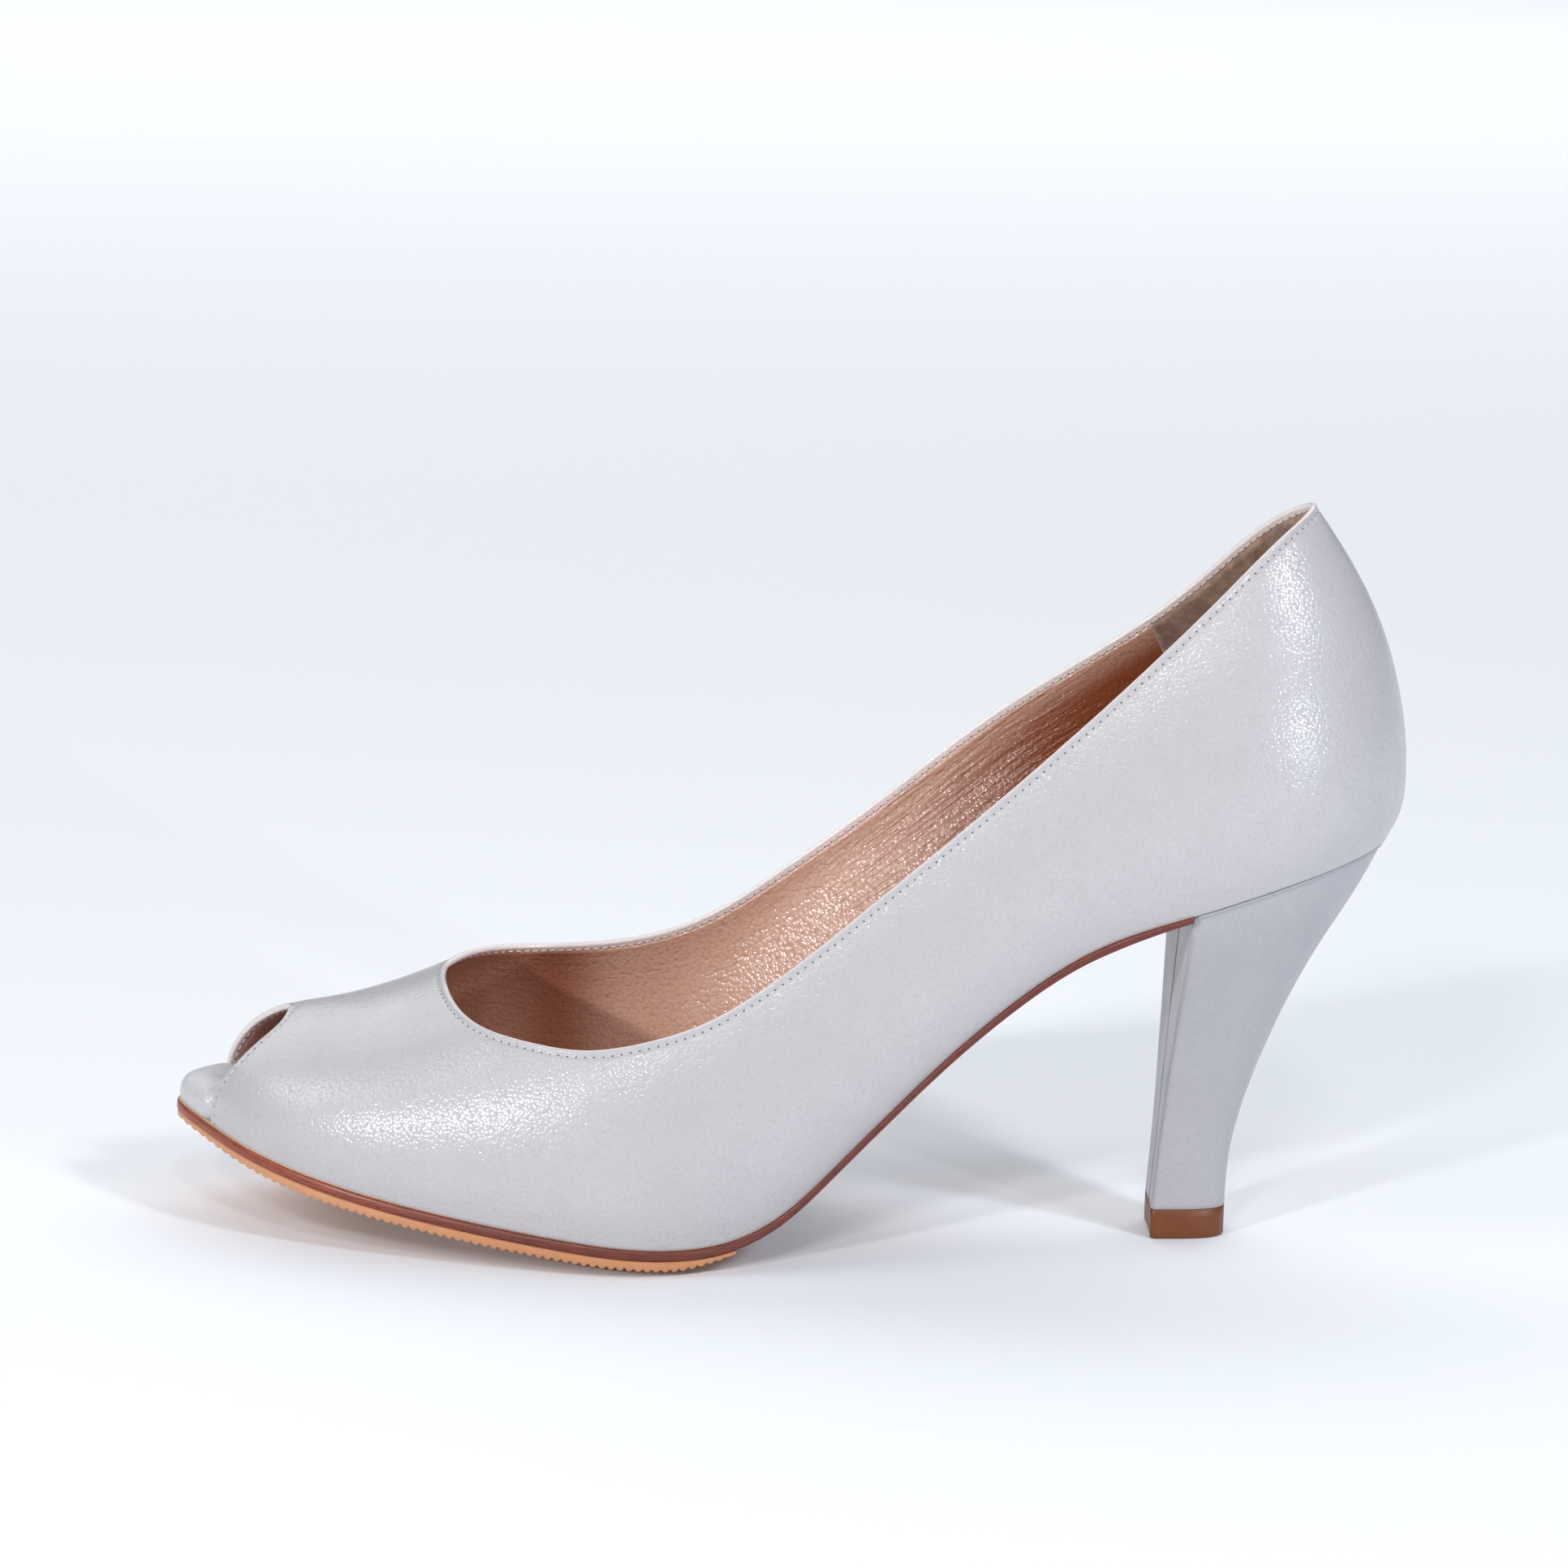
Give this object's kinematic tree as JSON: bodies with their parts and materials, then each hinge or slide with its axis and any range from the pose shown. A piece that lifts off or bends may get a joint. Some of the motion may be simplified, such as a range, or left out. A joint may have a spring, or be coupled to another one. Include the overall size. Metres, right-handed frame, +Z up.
{
  "type": "peep-toe court shoe",
  "caption": "Women's leather court shoe for the left foot, with an open toe, a low-cut topline, a covered curved heel and a ribbed rubber tread.",
  "frame": {"origin": "middle of the shoe's box on the floor, which is the plane under the ball tread and the heel lift", "axes": "+X towards the heel and -X towards the toe, -Y towards the outer side of a left foot, +Z up"},
  "size_m": [0.2286, 0.0758, 0.1388],
  "materials": {
    "sole_leather": "reddish-brown sole leather with a burnished edge",
    "tread_rubber": "tan-orange ribbed rubber, matte",
    "upper_leather": "pale pearl-grey fine-grained leather, soft gloss, tan lining",
    "insole_leather": "tan sock leather, satin",
    "toe_cover_leather": "pale pearl-grey fine-grained leather, soft gloss",
    "heel_leather": "pale pearl-grey leather drawn over the heel block, soft gloss",
    "lift_rubber": "caramel-brown hard rubber, satin"
  },
  "bodies": {
    "root": {"outsole": "sole_leather", "tread": "tread_rubber", "upper": "upper_leather", "insole": "insole_leather", "insole_toe_cover": "toe_cover_leather", "heel": "heel_leather", "top_lift": "lift_rubber"}
  },
  "joints": []
}
